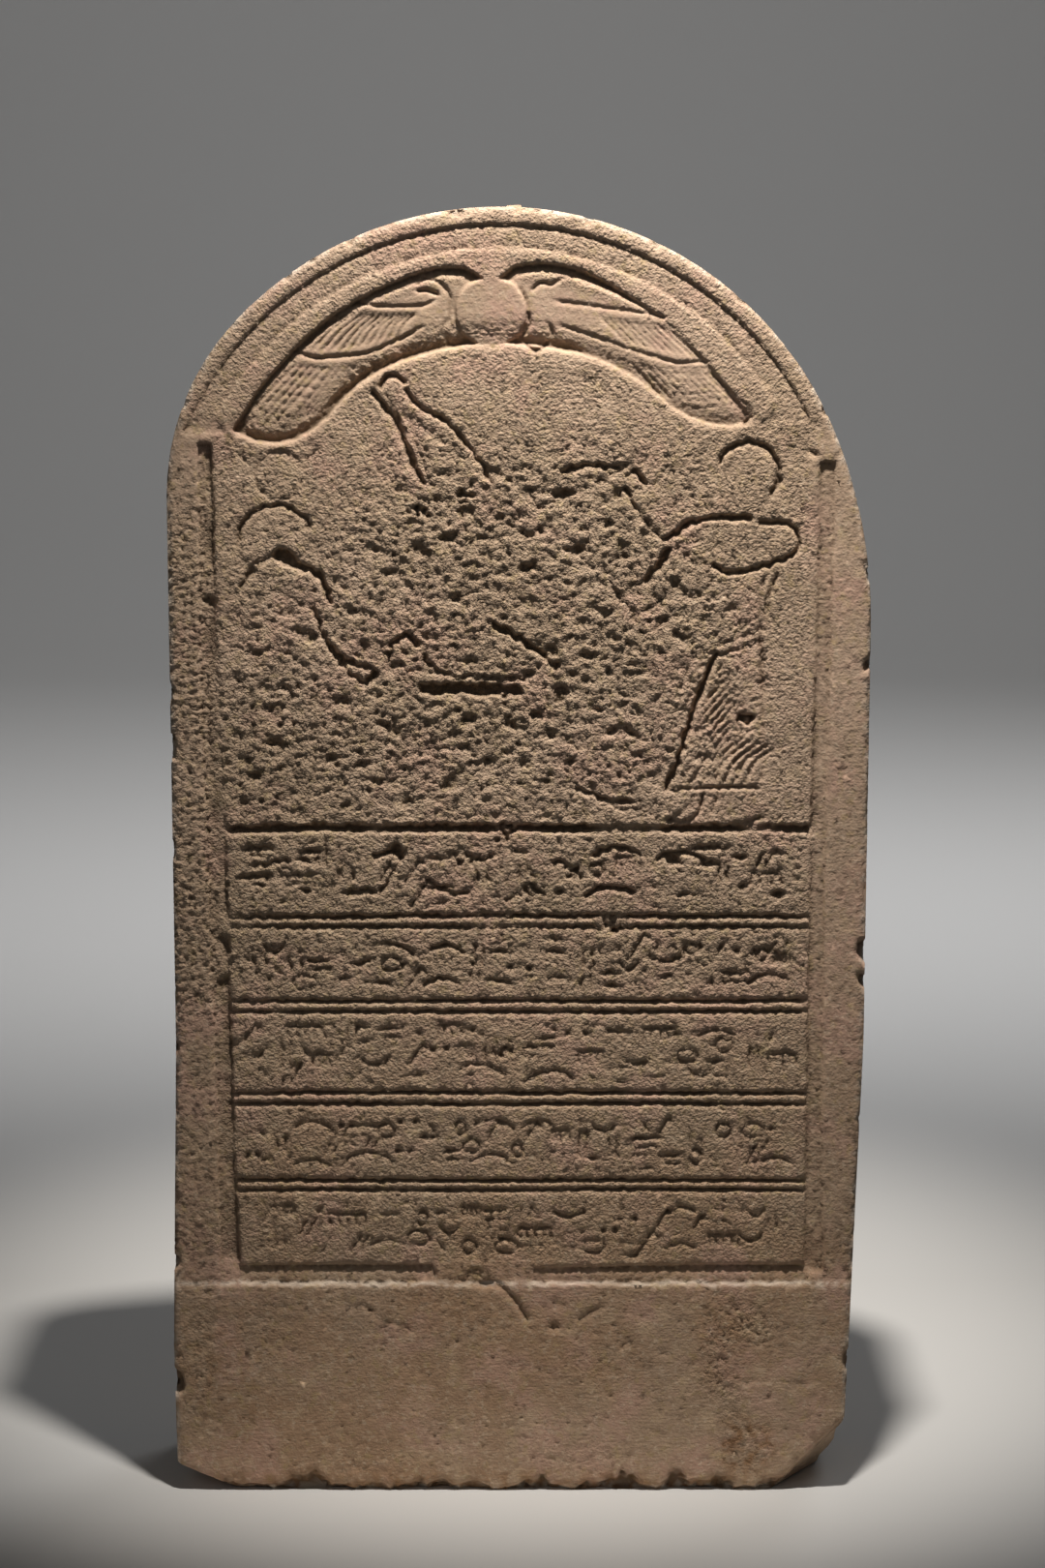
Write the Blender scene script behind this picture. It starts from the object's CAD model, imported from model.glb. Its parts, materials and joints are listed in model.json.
# %% [markdown]
# # A carved limestone stele
# The object is one block of pale limestone with a round top. A mason cut its front in sunk
# relief: the outlines are cut into the face and nothing stands out in front of it. Three
# thousand years of weather then wore the scene down to its edges. The lesson starts from the
# plain solid of the block, which is already the right size and in the right place, and gives
# it the surface of old stone.

# %% Load the block
import json
import math

import bpy
import numpy as np
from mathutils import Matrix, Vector

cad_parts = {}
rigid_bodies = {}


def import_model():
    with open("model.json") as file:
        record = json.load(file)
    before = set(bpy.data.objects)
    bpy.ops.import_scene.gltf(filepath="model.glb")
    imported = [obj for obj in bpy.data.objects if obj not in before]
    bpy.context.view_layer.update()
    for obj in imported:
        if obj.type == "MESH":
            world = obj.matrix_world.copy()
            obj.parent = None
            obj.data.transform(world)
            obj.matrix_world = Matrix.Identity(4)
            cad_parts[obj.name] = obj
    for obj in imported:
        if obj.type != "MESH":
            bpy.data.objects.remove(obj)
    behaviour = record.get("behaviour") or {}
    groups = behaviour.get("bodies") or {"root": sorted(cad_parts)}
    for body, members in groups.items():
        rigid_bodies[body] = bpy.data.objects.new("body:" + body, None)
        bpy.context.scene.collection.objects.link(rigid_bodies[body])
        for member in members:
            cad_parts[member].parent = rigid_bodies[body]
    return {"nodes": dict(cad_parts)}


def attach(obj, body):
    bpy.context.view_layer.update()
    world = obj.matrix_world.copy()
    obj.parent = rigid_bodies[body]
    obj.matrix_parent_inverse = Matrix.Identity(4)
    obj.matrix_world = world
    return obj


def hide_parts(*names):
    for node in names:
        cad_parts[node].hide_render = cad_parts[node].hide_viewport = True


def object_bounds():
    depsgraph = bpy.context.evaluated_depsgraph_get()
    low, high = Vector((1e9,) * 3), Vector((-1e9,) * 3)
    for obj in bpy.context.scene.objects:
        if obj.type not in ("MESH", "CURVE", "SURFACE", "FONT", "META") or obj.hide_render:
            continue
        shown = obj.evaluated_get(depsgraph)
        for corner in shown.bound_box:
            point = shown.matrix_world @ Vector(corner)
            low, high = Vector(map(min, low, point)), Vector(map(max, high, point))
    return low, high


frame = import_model()
cad_low, cad_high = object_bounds()
stele_solid = frame["nodes"]["stele"]
print("block", [round(v, 4) for v in (cad_high - cad_low)], "m")

# %% [markdown]
# ## Working one piece at a time
# Blender's operators act on everything that is selected, so each step first selects only the
# piece it works on. Lengths on the carving are given in millimetres, as a mason would, and
# turned to metres where they meet the mesh. Arithmetic on many vertices at once is quickest
# in numpy, so two helpers carry their places out of the mesh and back.

# %% Helpers for selecting and measuring
MM = 0.001
FRONT, BACK = cad_low.y, cad_high.y  # the planes of the uncarved front and of the back
HEIGHT_MM = (cad_high.z - cad_low.z) / MM
HALF_WIDTH_MM = (cad_high.x - cad_low.x) / MM / 2


def only(piece):
    bpy.ops.object.select_all(action="DESELECT")
    piece.select_set(True)
    bpy.context.view_layer.objects.active = piece


def apply_modifier(piece, kind, **settings):
    only(piece)
    modifier = piece.modifiers.new(kind.title(), kind)
    for name, value in settings.items():
        setattr(modifier, name, value)
    bpy.ops.object.modifier_apply(modifier=modifier.name)


def places(piece):
    flat = np.empty(len(piece.data.vertices) * 3)
    piece.data.vertices.foreach_get("co", flat)
    return flat.reshape(-1, 3)


def set_places(piece, points):
    piece.data.vertices.foreach_set("co", points.ravel())
    piece.data.update()


print("the front is", round(HEIGHT_MM), "mm high and", round(2 * HALF_WIDTH_MM), "mm wide")

# %% [markdown]
# ## Camera
# The camera stands a little over three metres in front of the stone, about as high as its top,
# and looks down by some ten degrees with a long lens. That keeps the outline nearly square
# and shows a sliver of the top.

# %% Camera
CAMERA_AWAY, CAMERA_HIGH = 3.061, 1.14    # metres from the front and above the floor
CAMERA_DOWN = 9.62                   # degrees below level
bpy.ops.object.camera_add(
    location=(0.005, FRONT - CAMERA_AWAY, CAMERA_HIGH),
    rotation=(math.radians(90 - CAMERA_DOWN), 0, 0),
)
camera = bpy.context.object
camera.data.lens = 85
camera.data.sensor_width = 36
bpy.context.scene.camera = camera
print("camera", round((camera.location - Vector((0, FRONT, 0.5))).length, 2), "m from the stone")

# %% [markdown]
# ## Floor
# A pale floor that sweeps up far behind the stone, like a roll of studio paper, gives a calm
# ground with no horizon line. The sheet is a plane whose far edge is spun up through a quarter
# turn and then drawn up into a wall. It is marked as stage, so it isn't part of the object.

# %% Floor
FLOOR_WIDE, FLOOR_LONG, FLOOR_FAR = 16, 12, 5.0
SWEEP_RADIUS, WALL_HEIGHT = 2.5, 4.5
only(stele_solid)
bpy.ops.mesh.primitive_plane_add(size=1, location=(0, FLOOR_FAR - FLOOR_LONG / 2, 0))
floor = bpy.context.object
floor.name = "studio_floor"
floor.scale = (FLOOR_WIDE, FLOOR_LONG, 1)
bpy.ops.object.transform_apply(location=True, rotation=False, scale=True)
bpy.ops.object.mode_set(mode="EDIT")
bpy.ops.mesh.select_mode(type="EDGE")
bpy.ops.mesh.select_all(action="DESELECT")
bpy.ops.object.mode_set(mode="OBJECT")
corners = floor.data.vertices
for edge in floor.data.edges:
    edge.select = all(corners[i].co.y > FLOOR_FAR - 0.1 for i in edge.vertices)
bpy.ops.object.mode_set(mode="EDIT")
bpy.ops.mesh.spin(
    steps=12,
    angle=math.radians(90),
    center=(0, FLOOR_FAR, SWEEP_RADIUS),
    axis=(-1, 0, 0),
)
bpy.ops.mesh.extrude_region_move(TRANSFORM_OT_translate={"value": (0, 0, WALL_HEIGHT)})
bpy.ops.mesh.select_all(action="SELECT")
bpy.ops.mesh.remove_doubles(threshold=MM)
bpy.ops.mesh.normals_make_consistent(inside=False)
bpy.ops.object.mode_set(mode="OBJECT")
bpy.ops.object.shade_smooth()
rise = max(floor.data.vertices, key=lambda corner: corner.co.z).co
print("floor rises to", round(rise.z, 2), "m at the back,", round(rise.y, 2), "m behind the stone")

# %% Paper finish
paper_finish = bpy.data.materials.new("pale_studio_paper")
paper_finish.use_nodes = True
paper = paper_finish.node_tree.nodes["Principled BSDF"]
paper.inputs["Base Color"].default_value = (0.58, 0.57, 0.55, 1)
paper.inputs["Roughness"].default_value = 0.9
floor.data.materials.append(paper_finish)
print("floor finish", paper_finish.name)

# %% [markdown]
# ## Light
# Relief only reads when light rakes across it, so the main lamp hangs above the front of the
# stone, half a metre out from it, and shines steeply down. It is a spot, a little right of
# the middle, whose edge falls off across the stone and mostly misses the floor in front.
# Broad weak lamps keep the shadows open and light the ground behind.

# %% Lamps


def aim(lamp, target):
    lamp.rotation_euler = (Vector(target) - lamp.location).to_track_quat("-Z", "Y").to_euler()


def softbox(name, place, target, size, power, tint):
    bpy.ops.object.light_add(type="AREA", location=place)
    lamp = bpy.context.object
    lamp.name = name
    lamp.data.shape = "DISK"
    lamp.data.size = size
    lamp.data.energy = power
    lamp.data.color = tint
    aim(lamp, target)


bpy.ops.object.light_add(type="SPOT", location=(0.12, FRONT - 0.5, 2.6))
raking_key = bpy.context.object
raking_key.name = "raking_key"
raking_key.data.energy = 330
raking_key.data.color = (1.0, 0.955, 0.9)
raking_key.data.shadow_soft_size = 0.07
raking_key.data.spot_size = math.radians(34)
raking_key.data.spot_blend = 1.0
aim(raking_key, (0.065, FRONT + 0.12, 0.9))
softbox("front_fill", (-1.6, -3.4, 2.6), (0, 0, 0.6), 2.2, 6, (0.95, 0.97, 1.0))
softbox("backdrop_wash", (0, 1.6, 2.6), (0, 6.0, 0.8), 2.0, 80, (0.98, 0.98, 1.0))
softbox("back_fill", (1.8, 2.8, 2.4), (0, 0, 0.6), 1.8, 24, (0.95, 0.97, 1.0))

# %% Sky
sky = bpy.data.worlds.new("studio_sky")
bpy.context.scene.world = sky
sky.use_nodes = True
sky.node_tree.nodes["Background"].inputs["Color"].default_value = (0.82, 0.86, 0.9, 1)
sky.node_tree.nodes["Background"].inputs["Strength"].default_value = 0.055
bpy.context.scene.view_settings.view_transform = "Standard"
print("sky", sky.name)

# %% [markdown]
# ## Two copies of the block
# The solid itself is never changed. Its mesh is loose triangles, so a copy is merged first.
# One copy keeps the crisp carving and is only measured. The other becomes the weathered stone.

# %% Copy the solid


def copy_of_solid(name):
    piece = bpy.data.objects.new(name, stele_solid.data.copy())
    bpy.context.scene.collection.objects.link(piece)
    only(piece)
    bpy.ops.object.mode_set(mode="EDIT")
    bpy.ops.mesh.select_all(action="SELECT")
    bpy.ops.mesh.remove_doubles(threshold=0.01 * MM)
    bpy.ops.object.mode_set(mode="OBJECT")
    return piece


carved = copy_of_solid("carved_form")
stone = copy_of_solid("weathered_stele")
print("solid has", len(stone.data.vertices), "corners once merged")

# %% [markdown]
# ## A squeeze of the carving
# Epigraphers press wet paper onto a stele to copy its carving, and call the sheet a squeeze.
# Here a fine grid is pressed onto the front with a Shrinkwrap modifier. Read as a table of
# depths, one number for each millimetre, the squeeze can be worn, warped and added to with
# plain arithmetic before it goes back on the stone.

# %% Press the squeeze
GRID_MM = 1.0
EDGE_SQUARES = 9                     # spare squares, so that the sheet reaches past the stone
columns = int(2 * HALF_WIDTH_MM / GRID_MM) + EDGE_SQUARES
rows = int(HEIGHT_MM / GRID_MM) + EDGE_SQUARES
middle = (cad_low + cad_high) / 2
bpy.ops.mesh.primitive_grid_add(
    x_subdivisions=columns - 1,
    y_subdivisions=rows - 1,
    size=1,
    location=(middle.x, FRONT - 0.02, middle.z),
    rotation=(math.radians(90), 0, 0),
)
squeeze = bpy.context.object
squeeze.name = "squeeze"
squeeze.scale = ((columns - 1) * GRID_MM * MM, (rows - 1) * GRID_MM * MM, 1)
bpy.ops.object.transform_apply(location=True, rotation=True, scale=True)
sheet = places(squeeze)
order = np.lexsort((np.round(sheet[:, 0], 5), np.round(sheet[:, 2], 5)))
grid_x = sheet[order].reshape(rows, columns, 3)[0, :, 0] / MM
grid_z = sheet[order].reshape(rows, columns, 3)[:, 0, 2] / MM
print("sheet of", columns, "by", rows, "squares")

# %% Read the depths
apply_modifier(
    squeeze,
    "SHRINKWRAP",
    target=carved,
    wrap_method="PROJECT",
    use_project_x=False,
    use_project_y=True,
    use_project_z=False,
    use_positive_direction=True,
    use_negative_direction=False,
)
pressed = places(squeeze)[order].reshape(rows, columns, 3)[:, :, 1]
on_stone = pressed > FRONT - 0.01
depth = np.where(on_stone, (pressed - FRONT) / MM, 0)
bpy.data.objects.remove(squeeze)
bpy.data.objects.remove(carved)
print("squeeze", depth.shape, "deepest", round(float(depth[on_stone].max()), 1), "mm")

# %% [markdown]
# ## Tools for the squeeze
# Weather works in patterns of a known size: grains of two or three millimetres, pits of six,
# hollows as wide as a hand. The helper `grain` makes a random relief whose bumps lie between
# two sizes, by keeping only those waves of white noise. Everything is seeded, so the stone
# wears the same way each time.

# %% Helpers for wearing
CARVING_X_MM = 2.2                   # the carving's middle line is a little right of the block's
x_mm, z_mm = np.meshgrid(grid_x - CARVING_X_MM, grid_z)
waves_x = np.fft.rfftfreq(columns, GRID_MM)[None, :]
waves_z = np.fft.fftfreq(rows, GRID_MM)[:, None]


def soft_step(values, low, high):
    t = np.clip((values - low) / (high - low), 0, 1)
    return t * t * (3 - 2 * t)


def blurred(field, size):
    spread = np.exp(-2 * (math.pi * size) ** 2 * (waves_x**2 + waves_z**2))
    return np.fft.irfft2(np.fft.rfft2(field) * spread, s=field.shape)


def widened(field, squares=1):
    """Each place takes the largest value found within some squares of it."""
    grown = field.copy()
    for step in range(squares):
        beside = (grown[:-2, 1:-1], grown[2:, 1:-1], grown[1:-1, :-2], grown[1:-1, 2:])
        grown[1:-1, 1:-1] = np.maximum.reduce([grown[1:-1, 1:-1], *beside])
    return grown


def grain(seed, coarse, fine, stretch=1.0):
    """Seeded bumps between `fine` and `coarse` mm across, longer sideways by `stretch`."""
    noise = np.random.default_rng(seed).standard_normal((rows, columns))
    pitch = np.hypot(waves_x * stretch, waves_z) + 1e-9
    keep = np.exp(-((pitch * fine) ** 4)) * (1 - np.exp(-((pitch * coarse) ** 4)))
    field = np.fft.irfft2(np.fft.rfft2(noise) * keep, s=(rows, columns))
    return field / field.std()


def creased(seed, coarse, fine, sharp=0.5):
    """Rounded bumps with narrow creases between them, 0 on the tops and 1 in the creases."""
    return np.exp(-((grain(seed, coarse, fine, 1.25) / sharp) ** 2))


print("grain of 2 to 5 mm spans", round(float(np.ptp(grain(1, 5, 2))), 1), "standard deviations")

# %% Helpers for places on the squeeze


def patch(x, z, wide, high, edge=0.35):
    """A soft oval patch, 1 in its middle and 0 outside."""
    away = np.hypot((x_mm - x) / wide, (z_mm - z) / high)
    return 1 - soft_step(away, 1 - edge, 1 + edge)


def patches(*ovals):
    """Several patches laid over each other, each as (share, x, z, wide, high)."""
    return np.clip(sum(share * patch(x, z, wide, high, 0.6) for share, x, z, wide, high in ovals), 0, 1)


def sampled(field, x, z):
    """The field read at places given in mm, between its squares."""
    column = np.clip((x - grid_x[0] + CARVING_X_MM) / GRID_MM, 0, columns - 1.001)
    row = np.clip((z - grid_z[0]) / GRID_MM, 0, rows - 1.001)
    left, low = column.astype(int), row.astype(int)
    across, up = column - left, row - low
    near = field[low, left] * (1 - across) + field[low, left + 1] * across
    far = field[low + 1, left] * (1 - across) + field[low + 1, left + 1] * across
    return near * (1 - up) + far * up


print("the squeeze is", round(float(sampled(depth, 40.0, 1006.0)), 2), "mm deep beside the disc")

# %% [markdown]
# ## Zones of wear
# The stone has not worn evenly. The round top, the margins and the base keep a fine, nearly
# level tooling. The scene in the middle has lost most of its skin, least under the wings and
# beside the right margin. The two upper rows of writing are rough, and the three lower ones
# only worn. Each zone is a map over the squeeze, 1 inside and 0 outside with a soft edge.

# %% Map the zones
CROWN_X_MM, CROWN_Z_MM = -16, 799    # the middle of the round top
ARCH_FROM_MM, ARCH_FOOT_MM = 240, 925    # the plain bands lie outside this radius and above this
SCENE_FOOT, ROWS_FOOT, BASE_TOP = 588, 206, 185
# The wings' lower edge, from the left tip to the right one.
WING_FOOT_X = [-300, -236, -214, -188, -165, -134, -100, -59, -23, 20, 62, 100, 126, 150, 176, 193, 300]
WING_FOOT_Z = [912, 915, 906, 908, 921, 953, 972, 984, 988, 985, 976, 957, 936, 924, 920, 928, 925]

from_crown = np.hypot(x_mm - CROWN_X_MM, z_mm - CROWN_Z_MM)
above_wing_foot = z_mm - np.interp(x_mm, WING_FOOT_X, WING_FOOT_Z)
waver = 7 * grain(3, 220, 50)
inside_strips = soft_step(x_mm + waver * 0.4, -262, -246) * (1 - soft_step(x_mm + waver * 0.4, 236, 252))
above_scene = soft_step(above_wing_foot, -5, 2)
below_scene = 1 - soft_step(z_mm, SCENE_FOOT - 5, SCENE_FOOT + 4)
scene_zone = inside_strips * (1 - above_scene) * (1 - below_scene)
wing_zone = above_scene * (1 - soft_step(from_crown, 246, 252)) * (z_mm > 880)
arch_zone = soft_step(from_crown, ARCH_FROM_MM, ARCH_FROM_MM + 6) * (z_mm > ARCH_FOOT_MM)
row_zone = inside_strips * soft_step(z_mm, ROWS_FOOT - 2, ROWS_FOOT + 4) * below_scene
upper_rows = row_zone * soft_step(z_mm + waver, 425, 470)
lower_rows = row_zone - upper_rows
base_zone = 1 - soft_step(z_mm, BASE_TOP - 5, BASE_TOP + 5)
left_margin = (1 - soft_step(x_mm, -258, -246)) * soft_step(z_mm, 190, 230) * (1 - soft_step(z_mm, 800, 930))
left_margin *= 0.35 + 0.65 * soft_step(z_mm + waver, 395, 450)
print("zones: scene", round(float(scene_zone.mean()), 2), "rows", round(float(row_zone.mean()), 2))

# %% Map what is worst and what is best
worst = patches(
    (1.0, -20, 800, 105, 95),
    (0.8, 60, 720, 120, 80),
    (0.6, -150, 700, 110, 130),
    (0.7, 0, 650, 150, 60),
    (0.5, 90, 820, 90, 80),
    (0.6, -215, 655, 34, 75),
)
# The rows are broken out at three places.
broken_rows = row_zone * patches((0.9, -240, 428, 26, 62), (0.6, 141, 468, 14, 46), (0.7, -12, 206, 42, 20))
calm = np.maximum(soft_step(x_mm, 192, 224), 0.6 * soft_step(z_mm, 885, 940))
calm_ovals = [(0.3, -195, 870, 70, 60), (0.8, 188, 878, 36, 36), (0.7, 200, 832, 50, 26)]
kilt = patch(170, 664, 38, 66)
calm = np.maximum(np.maximum(calm, patches(*calm_ovals)), kilt)
wing_decay = wing_zone * (1 - soft_step(above_wing_foot + waver, 8, 36)) * soft_step(above_wing_foot, 2, 10)
wing_decay *= 0.75 - 0.5 * soft_step(x_mm, 10, 60)
base_decay = base_zone * patches(
    (0.35, -232, 150, 46, 40),
    (0.3, -80, 160, 70, 24),
    (0.9, 192, 152, 32, 24),
    (0.9, 170, 112, 15, 32),
    (0.9, 184, 78, 12, 20),
    (1.0, 195, 40, 24, 24),
    (0.6, -278, 105, 16, 70),
    (0.5, -130, 26, 70, 16),
    (0.4, 62, 112, 30, 20),
    (0.5, 45, 32, 50, 18),
)
print("worst wear covers", round(float((worst * scene_zone).mean()) * 100), "% of the face")

# %% [markdown]
# ## Wearing the cuts
# A cut that is three thousand years old is no longer straight or sharp. Each place of the
# squeeze reads the carving a little to one side of itself, which makes the edges waver, and
# a blur rounds them, more where the stone is more worn. The cuts of the scene and of the rows
# have opened up: they are deeper than they were cut, and the stone beside them slopes down to
# them. In the scene some stretches of the outlines fade out.

# %% Measure the shallow carving
DEEPEST_CUT_MM = 9                   # what lies deeper is a broken edge, which isn't worn here
RIM_MM = 16                          # how far in from the outline the rim is measured
stone_here = on_stone.astype(float)
shallow = np.minimum(depth, DEEPEST_CUT_MM) * stone_here
beside_edge = blurred(shallow, 3) / np.maximum(blurred(stone_here, 3), 0.02)
shallow = np.where(on_stone, shallow, beside_edge)
inset = np.zeros_like(depth)         # how far inside the outline each place lies
for ring in range(RIM_MM):
    inset += widened(1 - stone_here, ring + 1) < 0.5
inset = blurred(inset, 1.2)
print("the rim reaches", round(float(inset.max()), 1), "mm in")

# %% Make the cuts waver
roughness = scene_zone * (0.6 + 0.4 * worst - 0.15 * calm - 0.25 * kilt)
roughness += 0.6 * upper_rows + 0.4 * lower_rows + 0.35 * left_margin
roughness += 0.6 * wing_decay + 0.12 * wing_zone + 0.35 * base_decay
roughness = np.clip(roughness, 0.08, 1)
HOLES = [(-45, 863), (-80, 850), (189, 677), (45, 545), (12, 530), (78, 500), (-12, 392), (-12, 574)]
ragged = sum(patch(x, z, 13, 13) for x, z in HOLES)
sideways = (1.2 * roughness + 1.6 * ragged) * grain(11, 24, 6)
upwards = (1.1 * roughness + 1.6 * ragged) * grain(12, 24, 6)
crooked = sampled(shallow, x_mm + sideways, z_mm + upwards)
print("edges waver by up to", round(float(np.abs(sideways).max()), 1), "mm")

# %% Round the disc
# The sun disc is a low dome. It stands level with the stone around it at its top and sinks a
# little towards its foot.
DISC_X, DISC_Z, DISC_RADIUS = -23, 1014, 30
from_disc = np.hypot(x_mm - DISC_X, z_mm - DISC_Z)
over_disc = 1 - soft_step(from_disc, DISC_RADIUS - 3, DISC_RADIUS + 0.5)
over_disc = np.maximum(over_disc, patch(DISC_X, 1046, 11, 7, 0.3))
disc_sink = 0.3 + 1.4 * np.clip((DISC_Z - z_mm) / DISC_RADIUS, 0, 1) ** 2
crooked = crooked * (1 - over_disc) + over_disc * disc_sink
print("the disc sinks by", round(float(disc_sink.max()), 1), "mm at its foot")

# %% Open up the cuts
OPEN_CUT_MM = 5                      # below this depth a cut has mostly filled up again
crisp, rounded = blurred(crooked, 0.45), blurred(crooked, 0.8)
fading = 0.4 * worst * scene_zone * soft_step(grain(13, 70, 18), 0.8, 1.7)
right_wing = wing_zone * soft_step(x_mm, 40, 60)
opening = 1 + 0.8 * scene_zone + 0.5 * row_zone - 0.65 * right_wing - 0.2 * arch_zone
worn_cut = (crisp + (rounded - crisp) * roughness) * (1 - fading) * opening
filled_cut = OPEN_CUT_MM + 0.25 * (worn_cut - OPEN_CUT_MM)
worn_cut = np.where(worn_cut > OPEN_CUT_MM, filled_cut, worn_cut)
# The holes have uneven floors, and some stretches of the rows are half rubbed out.
worn_cut *= 1 - 0.7 * ragged * soft_step(grain(16, 14, 5), -0.6, 0.8)
faint = 0.6 * (upper_rows + 0.5 * lower_rows) * soft_step(grain(19, 110, 24, 2), 0.2, 1.4)
faint += 0.6 * patch(-247, 690, 8, 125)      # the left frame line is nearly gone beside the scene
worn_cut *= 1 - faint
# The stone beside the cuts slopes down to them.
worn_cut += 0.3 * blurred(np.minimum(worn_cut, OPEN_CUT_MM) * (scene_zone + 0.4 * row_zone), 4)
worn_cut *= 1 - 0.5 * patch(4, 166, 44, 24)  # the crack at the top of the base is shallow
print("deepest worn cut", round(float(worn_cut.max()), 1), "mm")

# %% Slope the ledge over the base
# Under the writing a ledge slopes out to the base. The base stands a little forward all
# along, so its top edge catches the light.
over_base = soft_step(z_mm, BASE_TOP, BASE_TOP + 3) * (1 - soft_step(z_mm, ROWS_FOOT - 1, ROWS_FOOT + 2))
ledge_depth = 1.2 + (2.4 + 0.6 * grain(14, 90, 20)) * soft_step(z_mm, 193, 203)
worn_cut += over_base * (np.minimum(worn_cut, ledge_depth) - worn_cut)
uneven_z = z_mm + 0.6 * grain(15, 60, 12)
worn_cut += 1.5 * soft_step(uneven_z, BASE_TOP, BASE_TOP + 2.5) * (1 - soft_step(z_mm, 192, 250))
near_cut = soft_step(blurred(worn_cut, 2.8), 0.3, 1.4)
print("the ledge starts", round(float(ledge_depth.max()), 1), "mm deep at most")

# %% [markdown]
# ## Fine cuts that the solid leaves out
# The solid has the main cuts. The thin lines between feathers, the ticks across them, the
# pleats of the kilt, the second line of the round top and the scratches of later visitors
# are too fine for it, so they are scored into the squeeze here. Each one is a shallow V, cut
# along a line of points and running out at both ends.

# %% Score a line
score = np.zeros_like(depth)


def squares_near(points, reach):
    """The part of the squeeze within some mm of the box round the points."""
    (low_x, low_z), (high_x, high_z) = points.min(axis=0) - reach, points.max(axis=0) + reach
    left, right = ((np.array([low_x, high_x]) + CARVING_X_MM - grid_x[0]) / GRID_MM).astype(int)
    low, high = ((np.array([low_z, high_z]) - grid_z[0]) / GRID_MM).astype(int)
    return np.s_[max(low, 0) : high + 2, max(left, 0) : right + 2]


def incise(points, width, deep, fade_ends=True):
    """Score a V cut along (x, z) points in mm, as deep as the deepest of crossing cuts."""
    points = np.array(points, float)
    lengths = np.hypot(*np.diff(points, axis=0).T)
    gone = np.concatenate([[0], np.cumsum(lengths)])
    for i, length in enumerate(lengths):
        start, end = points[i], points[i + 1]
        here = squares_near(points[i : i + 2], width)
        off_x, off_z = x_mm[here] - start[0], z_mm[here] - start[1]
        run_x, run_z = end - start
        along = np.clip((off_x * run_x + off_z * run_z) / length**2, 0, 1)
        away = np.hypot(off_x - along * run_x, off_z - along * run_z)
        done = (gone[i] + along * length) / gone[-1]
        ends = np.minimum(1, np.minimum(done, 1 - done) * 6 + 0.25) if fade_ends else 1
        cut = deep * ends * np.clip(1 - away / (width / 2), 0, 1)
        score[here] = np.maximum(score[here], cut)


def along_path(path, share):
    path = np.array(path, float)
    steps = np.concatenate([[0], np.cumsum(np.hypot(*np.diff(path, axis=0).T))])
    return [float(np.interp(share * steps[-1], steps, path[:, i])) for i in (0, 1)]


def fan(starts, ends, count, width, deep, bow=0.0):
    """Lines from one path to another, bowed sideways by some mm."""
    for i in range(count):
        start, end = along_path(starts, i / (count - 1)), along_path(ends, i / (count - 1))
        middle_x, middle_z = along_path([start, end], 0.5)
        incise([start, [middle_x - bow, middle_z + bow], end], width, deep)


print("nothing scored yet:", float(score.max()), "mm")

# %% Feathers
# Each wing has a smooth shoulder, a tier of short feathers and a tier of long ones.
incise([(-141, 1022), (-107, 1018), (-80, 1019), (-66, 1024)], 3.6, 2.2)
incise([(-188, 983), (-168, 976), (-126, 980), (-97, 992), (-78, 1003)], 4, 2.6)
incise([(26, 1024), (66, 1018), (124, 1010)], 3.6, 1.6)
incise([(32, 1004), (90, 984), (130, 972), (160, 974)], 4, 1.8)
fan([(-138, 1014), (-84, 1014)], [(-178, 984), (-150, 980), (-101, 991)], 11, 3.4, 2.4, 2)
fan([(-181, 974), (-158, 971)], [(-228, 926), (-208, 916)], 5, 3.4, 2.2)
fan([(-150, 971), (-112, 976)], [(-196, 914), (-152, 938)], 7, 3.4, 1.8)
fan([(66, 1011), (120, 1003)], [(92, 986), (150, 976)], 9, 3.4, 1.5, -2)
fan([(92, 973), (154, 967)], [(118, 944), (190, 936)], 11, 3.4, 1.5)
BARB_ROWS = 7                        # ticks across the long feathers, in rows
RIGHT_EDGES = [[(118, 972), (142, 932)], [(152, 970), (187, 937)]]
LEFT_EDGES = [[(-182, 974), (-228, 924)], [(-150, 970), (-196, 916)]]
for step in range(BARB_ROWS):
    share = (step + 0.5) / BARB_ROWS
    incise([along_path(edge, share) for edge in RIGHT_EDGES], 3, 1.1)
    incise([along_path(edge, share) for edge in LEFT_EDGES], 3, 1.3)
print("feathers scored", int((score > 0).sum()), "mm2")

# %% The edge of the disc and the two cobras


def disc_arc(start, end, radius=DISC_RADIUS):
    turns = np.radians(np.linspace(start, end, 12))
    return [(DISC_X + radius * math.cos(t), DISC_Z + radius * math.sin(t)) for t in turns]


incise(disc_arc(45, -38), 3.4, 2.2)
incise(disc_arc(150, 238), 3.0, 1.8)
incise([(-86, 1034), (-77, 1041), (-65, 1038), (-57, 1028), (-58, 1010), (-63, 996)], 3.4, 2.2)
incise([(-85, 1031), (-76, 1032), (-66, 1028)], 4.4, 2.8)
incise([(-64, 996), (-55, 986), (-44, 989)], 3.2, 1.8)
incise([(9, 1031), (18, 1038), (26, 1036), (35, 1042)], 3.4, 2.4)
incise([(8, 1014), (9, 1004), (2, 993)], 4.4, 3.0)
incise([(3, 992), (8, 984), (20, 984), (28, 996), (23, 1006)], 3.4, 2.4)
print("cobras scored,", int((score > 0).sum()), "mm2 in all")

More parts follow.
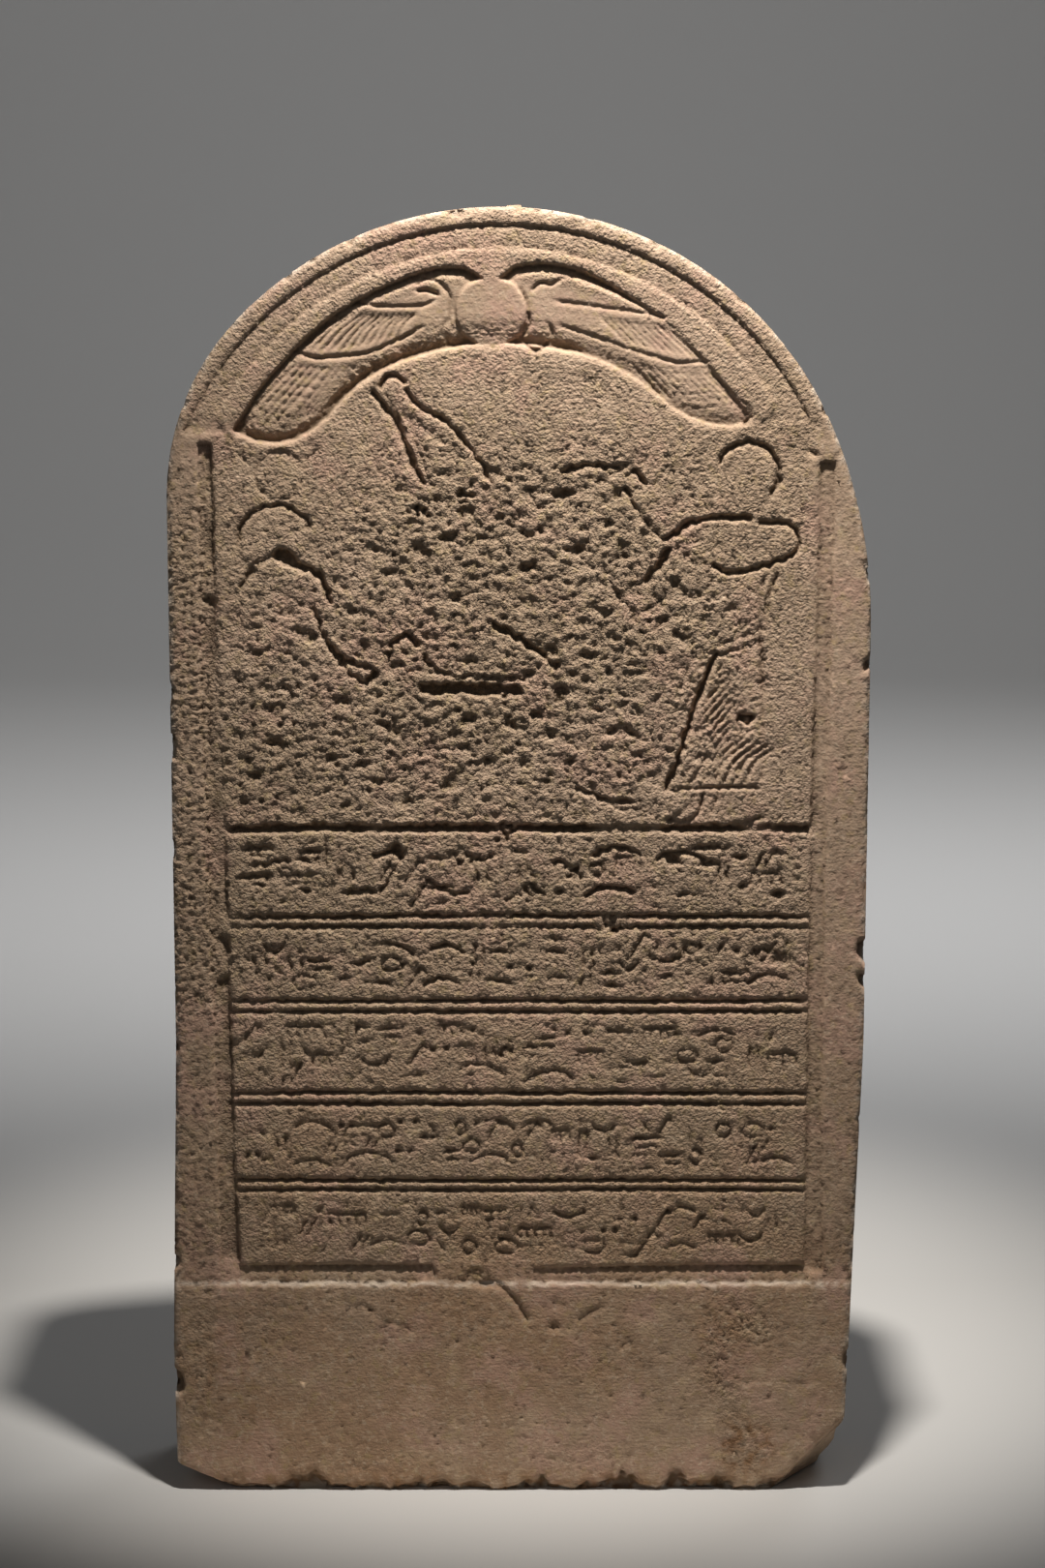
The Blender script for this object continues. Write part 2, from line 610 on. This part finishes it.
# %% Lines of the round top
ARC_FOOT = 930
for radius, deep in ((285.5, 0.5), (268.5, 1.0)):
    sweep_from = math.asin((ARC_FOOT - CROWN_Z_MM) / radius)
    arc = []
    for turn in np.linspace(sweep_from, math.pi - sweep_from, 60):
        wavering = radius + 0.5 * math.sin(23 * turn) + 0.4 * math.sin(41 * turn + 1)
        arc.append((CROWN_X_MM + wavering * math.cos(turn), CROWN_Z_MM + wavering * math.sin(turn)))
    incise(arc, 3.4, deep)
print("two lines follow the round top")

# %% More of the figures' edges
# The offerer's back and the fold of his arm, and the lap and knees of the enthroned god.
incise([(220, 810), (206, 776), (202, 739), (204, 698)], 4.6, 3.6)
incise([(76, 784), (100, 763), (126, 778), (142, 812)], 4.4, 2.8)
incise([(-104, 739), (-96, 748), (-82, 741), (-76, 717), (-50, 711), (0, 708)], 4.6, 3.0)
incise([(-172, 766), (-157, 733), (-128, 709)], 4.0, 2.6)
incise([(-230, 790), (-222, 804), (-204, 814), (-186, 811)], 4.4, 2.8)
incise([(56, 614), (82, 600), (108, 598), (122, 588)], 4.6, 3.0)
incise([(148, 609), (134, 593), (120, 588)], 4.0, 2.4)
incise([(-82, 650), (-30, 648)], 4.0, 2.2)
incise([(-108, 664), (-88, 663)], 4.0, 2.0)
print("figures scored,", int((score > 0).sum()), "mm2 in all")

# %% Pleats, the tall crown and stray scratches
OFFERER_X, SQUARE = 165, 17.7        # the man with the censer, on his grid of squares
PLEATS, HEM_FOLDS, SCRATCHES = 13, 7, 34
for pleat in range(PLEATS):
    share = pleat / (PLEATS - 1)
    top_x = OFFERER_X + SQUARE * (0.2 + 1.6 * share)
    top_z = SCENE_FOOT + SQUARE * (7.9 - 3.1 * share)
    incise([(top_x, top_z), (top_x - 26, top_z - 34), (top_x - 36, top_z - 58)], 4.2, 3.0)
for share in np.linspace(0, 1, HEM_FOLDS):    # the lower folds spread out towards the hem
    foot_x = 135 + 52 * share
    incise([(foot_x + 32, 662 - 8 * share), (foot_x + 12, 642), (foot_x, 619)], 4.2, 2.8)
for shift in (8, 14):                # the crown's inner lines follow its outer one
    incise([(-116 + shift, 938), (-93 + shift, 906), (-84 + shift, 880), (-76 + shift, 864)], 4.4, 2.6)
    incise([(-92 - shift * 0.4, 934), (-70 - shift, 920), (-48 - shift, 904), (-34 - shift, 886)], 4.4, 2.2)
scratch_places = np.random.default_rng(71)
for line in range(SCRATCHES):
    x, z = scratch_places.uniform(-250, 255), scratch_places.uniform(16, 180)
    turn, reach = scratch_places.uniform(-0.9, 0.9), scratch_places.uniform(6, 40)
    incise([(x, z), (x + reach * math.cos(turn), z + reach * math.sin(turn))], 2.4, 0.7)
incise([(-158, 142), (-148, 162), (-134, 168), (-120, 154), (-100, 148), (-84, 140)], 3, 1.4)
incise([(-52, 178), (-46, 164), (-50, 150), (-34, 140)], 3, 1.2)
incise([(50, 152), (60, 160), (72, 166)], 5, 2.0)
incise([(86, 128), (96, 136), (98, 126)], 4, 1.4)
incise([(262, 690), (272, 640), (268, 600)], 2.4, 0.9)
incise([(252, 745), (262, 742), (284, 722)], 2.4, 0.9)
print("pleats and scratches scored,", int((score > 0).sum()), "mm2 in all")

# %% [markdown]
# ## Small strokes in the rows
# The writing has gone back to rows of shallow strokes here. The solid has the main ones, and
# between them lie smaller ones: ticks, bars, dots, bowls and combs, in no order that could be
# read. None of them is a letter. The rules are scored again, wavering a little.

# %% Rules between the rows
RULE_HEIGHTS = [582.5, 507, 498, 434, 425, 354, 344.5, 277, 269]
marks = np.random.default_rng(72)
for height in RULE_HEIGHTS:
    stops = np.linspace(-247, 245, 34)
    incise([(x, height + 0.4 + marks.uniform(-0.8, 0.8)) for x in stops], 5, 2.2)
print(len(RULE_HEIGHTS), "rules scored")

# %% Kinds of strokes
# Each is given its middle, its size and its depth in mm.


def ticks(x, z, size, deep):
    for shift in (0, 7):
        incise([(x + shift, z - size * 0.8), (x + shift + 1, z + size * 0.8)], 3.8, deep)


def bars(x, z, size, deep):
    incise([(x - size, z + 3), (x + size, z + 4)], 4.2, deep)
    incise([(x - size * 0.7, z - 4), (x + size * 0.8, z - 3)], 3.8, deep * 0.8)


def dots(x, z, size, deep):
    for shift in (-size / 2, size / 2):
        incise([(x + shift - 2, z), (x + shift + 2, z + 1)], 6, deep * 1.3)


def hook(x, z, size, deep):
    tip = (x + size, z + size * 0.4)
    incise([(x - size / 2, z - size * 0.8), (x + size / 2, z + size * 0.8), tip], 3.8, deep)


def bowl(x, z, size, deep):
    left_half = [(x - size, z + 5), (x - size * 0.7, z - 1), (x, z - 4)]
    incise([*left_half, (x + size * 0.7, z - 1), (x + size, z + 5)], 3.8, deep)


def loop(x, z, size, deep):
    turns = np.linspace(0, 2 * math.pi, 13)
    incise([(x + size * 0.6 * math.cos(t), z + 6 * math.sin(t)) for t in turns], 3.4, deep, False)


def comb(x, z, size, deep):
    incise([(x - size, z + 5), (x + size, z + 5)], 3.8, deep)
    for tooth in np.linspace(x - size * 0.9, x + size * 0.9, 5):
        incise([(tooth, z + 3), (tooth + 1, z - 5)], 3.4, deep)


def slope(x, z, size, deep):
    for shift in (0, 7):
        foot, head = x - size * 0.6 + shift, x + size * 0.3 + shift
        incise([(foot, z - size * 0.8), (head, z + size * 0.8)], 3.6, deep)


STROKES = [ticks, bars, dots, hook, bowl, loop, comb, slope]
print(len(STROKES), "kinds of strokes")

# %% Fill the rows
# Each row: its top, its foot and the depth of its strokes, from the top row down.
ROW_HEIGHTS = [(575, 512, 4.2), (493, 439, 4.0), (420, 359, 3.4), (340, 282, 3.4), (264, 206, 3.4)]
TRIES_A_ROW = 120
# The solid's own strokes keep their place.
taken = widened((blurred(crooked, 2) > 0.4).astype(float), 7)
for top, bottom, deep in ROW_HEIGHTS:
    for attempt in range(TRIES_A_ROW):
        kind = STROKES[marks.integers(len(STROKES))]
        size = marks.uniform(7, 17)
        x, z = marks.uniform(-230, 226), marks.uniform(bottom + 11, top - 11)
        if sampled(taken, x, z) < 0.1:
            kind(x, z, size, deep)
            taken = np.maximum(taken, patch(x, z, size + 3, 12))
# Long bars and holes, half broken out, along the top row.
for x, z, reach in ((-234, 565, 26), (-184, 562, 20), (-110, 562, 16), (-236, 541, 30)):
    incise([(x, z), (x + reach, z + 1)], 7, 4.4)
for x, z, reach in ((144, 566, 34), (150, 552, 20), (-60, 560, 10), (30, 552, 12), (-150, 528, 30)):
    incise([(x, z), (x + reach, z + 1)], 7, 4.2)
print("score covers", round(float((score > 0.1).mean()) * 100, 1), "% of the squeeze")

# %% [markdown]
# ## Losing the skin
# Limestone weathers by losing grains along its softer beds, so the surface breaks up into
# small rounded bumps with narrow creases between them. Two sizes of such bumps are laid over
# each other, with broad shallow hollows under them and a scatter of deeper pits. All of it
# only goes inwards: weather adds nothing to a stone.

# %% Kinds of damage
lumps = grain(21, 22, 9, 1.4)
nubs = grain(22, 10, 4.5, 1.4)
grit = grain(23, 5, 2.6, 1.3)
creases = 0.7 * creased(28, 18, 7, 0.5) + 0.5 * creased(29, 9, 4, 0.55)
hollows = soft_step(grain(24, 150, 45), -0.6, 1.6)
pits = np.clip(grain(25, 12, 6, 1.3) + 0.5 * nubs - 1.5, 0, 1.6)
small_pits = np.clip(grain(26, 7, 3) - 1.9, 0, 1.2)
cavities = np.clip(grain(33, 44, 13, 1.7) - 0.9, 0, 1.6)
patchy = soft_step(grain(34, 120, 30), -0.4, 1.4)
print("pits cover", round(float((pits > 0.2).mean()) * 100, 1), "% where they are worst")

# %% Weather the scene and the rows
coarse_skin = 0.1 * lumps + 0.14 * nubs + 0.12 * creases + 0.3 * pits
fine_skin = 0.5 * grit + 0.6 * small_pits
deep_wear = 0.5 + 0.3 * lumps + 0.24 * nubs + 0.45 * creases + 1.1 * pits + 2.0 * cavities
scene_loss = 0.8 + 0.6 * hollows + coarse_skin * (1 - 0.85 * calm) + fine_skin + worst * deep_wear
upper_loss = 0.8 + 0.5 * hollows + 0.14 * lumps + 0.22 * nubs + 0.4 * grit + 0.3 * creases + 0.9 * pits
lower_loss = 0.6 + 0.3 * hollows + 0.05 * lumps + 0.08 * nubs + 0.3 * grit + 0.3 * small_pits
lower_loss += patchy * (0.16 * lumps + 0.2 * nubs + 0.25 * creases + 0.7 * pits)
print("mean loss in the scene", round(float((scene_loss * scene_zone).sum() / scene_zone.sum()), 2), "mm")

# %% Weather the margins, the wings and the base
margin_loss = 0.2 + 0.15 * hollows + 0.14 * nubs + 0.3 * grit + 0.3 * small_pits
margin_loss += left_margin * (0.4 + 0.35 * nubs + 0.4 * grit + 0.5 * creases + 0.5 * pits)
wing_slope = 1 - soft_step(above_wing_foot, 0, 26)
wing_loss = 0.05 * nubs + 0.1 * grit + 2.0 * wing_slope
wing_loss += wing_decay * (0.4 + 0.2 * lumps + 0.28 * nubs + 0.3 * grit + 0.3 * pits)
base_loss = 0.15 + 0.4 * hollows + 0.16 * grit + 1.6 * np.clip(grain(27, 10, 4, 1.3) - 2.0, 0, 1)
base_loss += 0.6 * np.clip(grain(35, 40, 9, 1.6) - 1.2, 0, 1)
base_loss += base_decay * (0.1 + 0.2 * lumps + 0.24 * nubs + 0.3 * grit + 0.4 * creases + 0.4 * pits)
print("mean loss on the base", round(float((base_loss * base_zone).sum() / base_zone.sum()), 2), "mm")

# %% Wear the rim and break the foot
# The arris is rubbed round, a little more in some places. The lower edge has flaked off in
# slanting chips of uneven height, whose faces look down.
rim_waver = grain(31, 90, 26)
rim_wear = 1.2 * (1 - soft_step(inset + 0.9 * rim_waver, 0, 4.5)) ** 2
rim_wear += 1.8 * (1 - soft_step(inset, 1, 9)) * np.clip(grain(32, 60, 14) - 1.4, 0, 2)
chip_heights = 9 + 5 * grain(51, 130, 24)[:1] + 1.5 * grain(52, 24, 8)[:1]
foot_chips = 1.2 * np.clip(chip_heights - z_mm + 1.2 * nubs, 0, 9)
print("the foot is chipped up to", round(float(chip_heights.max())), "mm high")

# %% Lay all the wear together
zone_sum = scene_zone + upper_rows + lower_rows + wing_zone
elsewhere = np.clip(1 - zone_sum, 0, 1)
loss = scene_zone * scene_loss + upper_rows * upper_loss + lower_rows * lower_loss + wing_zone * wing_loss
loss += elsewhere * (base_zone * base_loss + (1 - base_zone) * margin_loss)
loss *= 1 - 0.55 * near_cut * (scene_zone + row_zone)
loss += 0.8 * broken_rows * deep_wear
kept_score = blurred(sampled(score, x_mm + sideways, z_mm + upwards), 0.35)
kept_score *= (1 - 0.6 * worst * scene_zone - 0.6 * wing_decay) * (1 - faint)
front_depth = np.maximum(worn_cut + kept_score + loss + rim_wear, foot_chips)
print("the face is now", round(float(front_depth.max()), 1), "mm deep at most")

# %% [markdown]
# ## Carving the block
# A voxel remesh turns the copy of the solid into an even skin of small faces, whose vertices
# can be moved as a chisel would move the surface. The sides and the back are roughened with
# Displace modifiers, which may only push inwards, and the back most. The front takes its
# depths from the worn squeeze instead, because a modifier's texture could not follow the
# carving.

# %% Remesh the block
SKIN_MM = 1.6
apply_modifier(stone, "REMESH", mode="VOXEL", voxel_size=SKIN_MM * MM, use_smooth_shade=True)
skin = places(stone)
skin_x = skin[:, 0] / MM - CARVING_X_MM
skin_z = skin[:, 2] / MM
skin_depth = (skin[:, 1] - FRONT) / MM
carved_near = sampled(widened(shallow, 3), skin_x, skin_z) + 0.8
faces_front = skin_depth < np.minimum(carved_near, DEEPEST_CUT_MM)
faces_front &= sampled(inset, skin_x, skin_z) > 0.6
print(len(skin), "vertices,", int(faces_front.sum()), "of them on the front")

# %% Roughen the sides and the back


def weigh(piece, name, weights):
    """Give the piece a vertex group, in steps of a tenth."""
    group = piece.vertex_groups.new(name=name)
    layer = np.round(weights, 1)
    for weight in np.unique(layer[layer > 0]):
        group.add(np.nonzero(layer == weight)[0].tolist(), float(weight), "REPLACE")


def roughen(piece, group, size_mm, depth_mm, octaves):
    pattern = bpy.data.textures.new("hewn_face", "CLOUDS")
    pattern.noise_scale = size_mm * MM
    pattern.noise_depth = octaves
    apply_modifier(
        piece,
        "DISPLACE",
        texture=pattern,
        texture_coords="LOCAL",
        vertex_group=group,
        mid_level=1,
        strength=depth_mm * MM,
    )


# Each pattern of hollows: its size in mm, its depth in mm and its levels of detail.
HEWN = [(60, 3.0, 2), (14, 1.6, 2), (5, 0.7, 1)]
PICKED = (30, 3.5, 2)
# The foot stays flat, because the stone stands on it.
above_foot = soft_step(skin_z, 1.5, 8)
weigh(stone, "hewn", np.where(faces_front, 0, soft_step(skin_depth, 1, 12)) * above_foot)
for hollow in HEWN:
    roughen(stone, "hewn", *hollow)
# The back was never smoothed, so it keeps the hollows of the pick as well.
weigh(stone, "picked", soft_step(skin_depth, 110, 134) * above_foot)
roughen(stone, "picked", *PICKED)
deepest = sum(depth_mm for size_mm, depth_mm, octaves in HEWN)
print("sides hewn up to", round(deepest, 1), "mm deep, and the back", PICKED[1], "mm deeper")

# %% Carve the front
skin = places(stone)
set_depth = sampled(front_depth, skin_x, skin_z)
skin[faces_front, 1] = FRONT + set_depth[faces_front] * MM
skin[:, 1] = np.maximum(skin[:, 1], FRONT)
set_places(stone, skin)
only(stone)
bpy.ops.object.mode_set(mode="EDIT")
bpy.ops.mesh.select_all(action="SELECT")
bpy.ops.mesh.remove_doubles(threshold=0.3 * MM)
bpy.ops.object.mode_set(mode="OBJECT")
print("front carved to", round(float(set_depth[faces_front].max()), 1), "mm")

# %% [markdown]
# ## Thinning the mesh
# The even skin has far more faces than flat places need. Decimate merges edges where that
# changes the surface least, so the faces gather along the cuts and in the rough scene. The
# plain back is thinned first and hardest. The fine feathers and pleats are left as they are.
# Thinning can leave small faults where the surface folds, so the mesh is mended after it.

# %% Thin the mesh
MOST_TRIANGLES = 196000
REAR_TRIANGLES = 28000
REAR_FROM_MM = DEEPEST_CUT_MM + 3    # the front's carving ends short of this depth


def triangle_count(piece):
    piece.data.calc_loop_triangles()
    return len(piece.data.loop_triangles)


def thin(piece, group, triangles):
    share = triangles / triangle_count(piece)
    apply_modifier(piece, "DECIMATE", ratio=share, vertex_group=group, vertex_group_factor=1000)


whole = triangle_count(stone)
behind = (places(stone)[:, 1] - FRONT) / MM > REAR_FROM_MM
weigh(stone, "rear", behind.astype(float))
thin(stone, "rear", 2 * int((~behind).sum()) + REAR_TRIANGLES)
thinned = places(stone)
fine_work = np.maximum(wing_zone - wing_decay, kilt)
feathered = sampled(fine_work, thinned[:, 0] / MM - CARVING_X_MM, thinned[:, 2] / MM)
weigh(stone, "plain", 1.0 - (feathered > 0.3))
thin(stone, "plain", MOST_TRIANGLES)
thinned = places(stone)
thinned[:, 1] = np.clip(thinned[:, 1], FRONT, BACK)
thinned[:, 2] = np.maximum(thinned[:, 2], 0)
set_places(stone, thinned)
print(whole, "triangles thinned to", triangle_count(stone))

# %% Mend the thinned mesh
# What isn't joined to the top of the stone is a loose crumb and goes. Tiny flaps that hang by
# one edge are peeled off from their open edges, and then any pinhole is closed.
PEELS = 5


def select_open_edges():
    bpy.ops.mesh.select_mode(type="EDGE")
    bpy.ops.mesh.select_all(action="DESELECT")
    bpy.ops.mesh.select_non_manifold(use_multi_face=False, use_non_contiguous=False, use_verts=False)


crown = np.zeros(len(thinned), dtype=bool)
crown[np.argmax(thinned[:, 2])] = True
only(stone)
bpy.ops.object.mode_set(mode="EDIT")
bpy.ops.mesh.select_mode(type="VERT")
bpy.ops.mesh.select_all(action="DESELECT")
bpy.ops.object.mode_set(mode="OBJECT")
stone.data.vertices.foreach_set("select", crown)
bpy.ops.object.mode_set(mode="EDIT")
bpy.ops.mesh.select_linked()
bpy.ops.mesh.select_all(action="INVERT")
bpy.ops.mesh.delete(type="VERT")
for peel in range(PEELS):
    select_open_edges()
    bpy.ops.mesh.select_mode(use_expand=True, type="FACE")
    bpy.ops.mesh.delete(type="FACE")
select_open_edges()
bpy.ops.mesh.fill_holes(sides=12)
bpy.ops.object.mode_set(mode="OBJECT")
bpy.ops.object.shade_smooth()
print(triangle_count(stone), "triangles once mended")

# %% [markdown]
# ## Where the finish changes
# Colour on old stone follows its shape. Dirt stays in the cuts, the edges are rubbed pale, and
# the foot has brown stains from the ground. The marks of the last dressing run across the
# margins and the base, and outwards across the bands of the round top. All of this is stored
# on the vertices, where the material can read it.

# %% Store the wear on the vertices
final = places(stone)
final_x = final[:, 0] / MM - CARVING_X_MM
final_z = final[:, 2] / MM
on_front = (final[:, 1] - FRONT) / MM < REAR_FROM_MM
on_front &= sampled(inset, final_x, final_z) > 0.2


def store(name, field, elsewhere=0.0):
    """Store a map of the squeeze on the front's vertices, and one value on all others."""
    layer = stone.data.attributes.new(name, "FLOAT", "POINT")
    values = np.where(on_front, sampled(np.clip(field, 0, 1), final_x, final_z), elsewhere)
    layer.data.foreach_set("value", values.astype(np.float32))


stains = patches(
    (1.3, 195, 42, 24, 22),
    (0.5, -250, 110, 40, 60),
    (0.3, -70, 160, 50, 26),
    (0.2, 60, 110, 80, 40),
    (0.8, -10, 4, 270, 14),
    (0.3, 180, 130, 30, 40),
)
sunk = front_depth - blurred(front_depth, 7)
store("recess", np.maximum(soft_step(sunk, 0.3, 3.0), 0.85 * soft_step(foot_chips, 0, 2)))
store("stain", stains * soft_step(grain(41, 60, 8), -0.8, 1.2))
rubbed_rim = (1 - soft_step(inset, 1, 5)) * soft_step(grain(42, 50, 6), -0.4, 1.0)
rubbed_base = 1 - soft_step(np.abs(uneven_z - BASE_TOP - 1), 0.5, 2)
store("rubbed", 0.8 * (rubbed_rim + rubbed_base))
grained = roughness + 0.3 * row_zone + 0.15 * calm * scene_zone + 0.1 * elsewhere + 0.35 * arch_zone
store("weathered", blurred(grained, 3), 0.5)
store("lower", 1 - soft_step(z_mm, 150, 640), 0.5)
tooled = 0.8 * arch_zone + elsewhere * (1 - arch_zone) * (0.3 + 0.15 * base_zone) + 0.3 * wing_zone
store("tooled", tooled * (1 - 0.6 * base_decay), 0.5)
print("attributes", [layer.name for layer in stone.data.attributes if layer.data_type == "FLOAT"])

# %% Store the run of the tooling
MARK_LONG_MM, MARK_WIDE_MM = 9, 2.2
ROUND_TOP_MM = 285                   # the radius at which the round top's marks are as wide
out = np.hypot(final_x - CROWN_X_MM, final_z - CROWN_Z_MM)
turn = np.arctan2(final_z - CROWN_Z_MM, final_x - CROWN_X_MM)
on_arch = (out > ARCH_FROM_MM) & (final_z > ARCH_FOOT_MM)
along = np.where(on_arch, out, final_x)
across = np.where(on_arch, turn * ROUND_TOP_MM, final_z)
run = np.stack([along / MARK_LONG_MM, across / MARK_WIDE_MM, final[:, 1] / MM / MARK_LONG_MM], axis=1)
layer = stone.data.attributes.new("tooling", "FLOAT_VECTOR", "POINT")
layer.data.foreach_set("vector", run.astype(np.float32).ravel())
print("tool marks", MARK_LONG_MM, "by", MARK_WIDE_MM, "mm")

# %% [markdown]
# ## Limestone
# The stone is a fine-grained limestone, cut with a copper chisel and rubbed down with sand. It
# is a warm beige with pink and yellow clouds, where the beds held a little iron, and browner
# towards the ground. It has hardly any sheen, so its roughness is high all over.

# %% Helpers for a material


def linear(hex_colour):
    """An sRGB hex value as the linear colour that shaders work in."""
    parts = [int(hex_colour[i : i + 2], 16) / 255 for i in (1, 3, 5)]
    curve = [p / 12.92 if p <= 0.04045 else ((p + 0.055) / 1.055) ** 2.4 for p in parts]
    return (*curve, 1.0)


def add_node(material, kind, settings=None, links=None):
    """Add a node, set its properties and inputs, and link inputs to other nodes' outputs."""
    tree = material.node_tree
    node = tree.nodes.new(kind)
    for name, value in (settings or {}).items():
        if isinstance(name, str) and hasattr(node, name):
            setattr(node, name, value)
        else:
            node.inputs[name].default_value = value
    for name, source in (links or {}).items():
        tree.links.new(source, node.inputs[name])
    return node


print("mid grey is", round(linear("#808080")[0], 3), "in linear light")

# %% Start the limestone
limestone = bpy.data.materials.new("sand_rubbed_limestone")
limestone.use_nodes = True
shader = limestone.node_tree.nodes["Principled BSDF"]
shader.inputs["Roughness"].default_value = 0.92
shader.inputs["IOR"].default_value = 1.5
where = add_node(limestone, "ShaderNodeTexCoord").outputs["Object"]
wear = {}
for name in ("recess", "stain", "rubbed", "weathered", "lower", "tooled"):
    wear[name] = add_node(limestone, "ShaderNodeAttribute", {"attribute_name": name}).outputs["Fac"]
print("the shader reads", list(wear))

# %% Clouds of colour in the stone
PER_METRE = 1000.0                   # a pattern of n mm has a scale of PER_METRE / n
FACTOR, UNDER, OVER, MIXED = 0, 6, 7, 2    # a colour Mix node's sockets
# Each cloud: its size in mm, the noise values it starts and is full at, its share and colour.
CLOUDS = [
    (150, 0.40, 0.60, 0.8, "#b0957c"),
    (55, 0.48, 0.66, 0.6, "#c59d8a"),
    (22, 0.52, 0.68, 0.5, "#c9ad8c"),
    (9, 0.54, 0.72, 0.5, "#b09868"),
    (4, 0.50, 0.75, 0.5, "#d8c3a8"),
    (3, 0.55, 0.80, 0.5, "#8b7259"),
]
colour = add_node(
    limestone,
    "ShaderNodeMix",
    {"data_type": "RGBA", UNDER: linear("#c2a58d"), OVER: linear("#ad8c6f")},
    {FACTOR: wear["lower"]},
).outputs[MIXED]
for size_mm, start, full, share, tint in CLOUDS:
    noise = add_node(
        limestone,
        "ShaderNodeTexNoise",
        {"Scale": PER_METRE / size_mm, "Detail": 4, "Roughness": 0.6},
        {"Vector": where},
    )
    cloud = add_node(
        limestone,
        "ShaderNodeMapRange",
        {"interpolation_type": "SMOOTHSTEP", "From Min": start, "From Max": full, "To Max": share},
        {"Value": noise.outputs["Fac"]},
    )
    colour = add_node(
        limestone,
        "ShaderNodeMix",
        {"data_type": "RGBA", OVER: linear(tint)},
        {FACTOR: cloud.outputs["Result"], UNDER: colour},
    ).outputs[MIXED]
print(len(CLOUDS), "clouds, from", CLOUDS[-1][0], "to", CLOUDS[0][0], "mm")

# %% Dirt, stains and rubbed edges
# Each coat: the stored wear it follows, its share at full wear and its colour.
COATS = [
    ("weathered", 0.18, "#8f8568"),  # a green-brown film holds on the broken skin
    ("recess", 0.78, "#56442f"),     # dirt in the cuts
    ("stain", 0.7, "#8a6138"),       # iron drawn up from damp ground
    ("rubbed", 0.6, "#e6dac9"),      # bare pale stone along the rim
]
for name, share, tint in COATS:
    strength = add_node(
        limestone, "ShaderNodeMath", {"operation": "MULTIPLY", 1: share}, {0: wear[name]}
    ).outputs["Value"]
    colour = add_node(
        limestone,
        "ShaderNodeMix",
        {"data_type": "RGBA", OVER: linear(tint)},
        {FACTOR: strength, UNDER: colour},
    ).outputs[MIXED]
limestone.node_tree.links.new(colour, shader.inputs["Base Color"])
print("coats", [name for name, share, tint in COATS])

# %% [markdown]
# ## Grain and tool marks
# The grains of the stone and the last strokes of the chisel are finer than the mesh, so they
# are bump in the material. Real grains are under half a millimetre. They are drawn at two to
# three, as coarse as they need to be to show. The broken skin has deeper flakes, and the
# dressed faces have strokes that follow the stored run of the tooling.

# %% Bump
mark_run = add_node(limestone, "ShaderNodeAttribute", {"attribute_name": "tooling"}).outputs["Vector"]
# Each pattern: where it is read, its scale, its height in mm and the wear it follows.
PATTERNS = [
    (where, PER_METRE / 3.0, 1.5, wear["weathered"]),
    (where, PER_METRE / 1.7, 0.6, wear["weathered"]),
    (mark_run, 1.0, 0.32, wear["tooled"]),
    (where, PER_METRE / 2.2, 0.12, None),
]
normal = None
for place, scale, height_mm, follows in PATTERNS:
    noise = add_node(
        limestone,
        "ShaderNodeTexNoise",
        {"Scale": scale, "Detail": 2, "Roughness": 0.55},
        {"Vector": place},
    )
    relief = add_node(
        limestone,
        "ShaderNodeMapRange",
        {"From Min": 0.3, "From Max": 0.7},
        {"Value": noise.outputs["Fac"]},
    )
    links = {"Height": relief.outputs["Result"]}
    if follows:
        links["Strength"] = follows
    if normal:
        links["Normal"] = normal
    bump = add_node(limestone, "ShaderNodeBump", {"Distance": height_mm * MM, "Strength": 1.0}, links)
    normal = bump.outputs["Normal"]
limestone.node_tree.links.new(normal, shader.inputs["Normal"])
stone.data.materials.clear()
stone.data.materials.append(limestone)
print(len(PATTERNS), "bump patterns,", len(limestone.node_tree.nodes), "nodes in all")

# %% [markdown]
# ## Handing the piece over
# The finished stone rides on the object's one body and stands for the plain solid.

# %% Ride, replace and measure
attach(stone, "root")
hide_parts("stele")
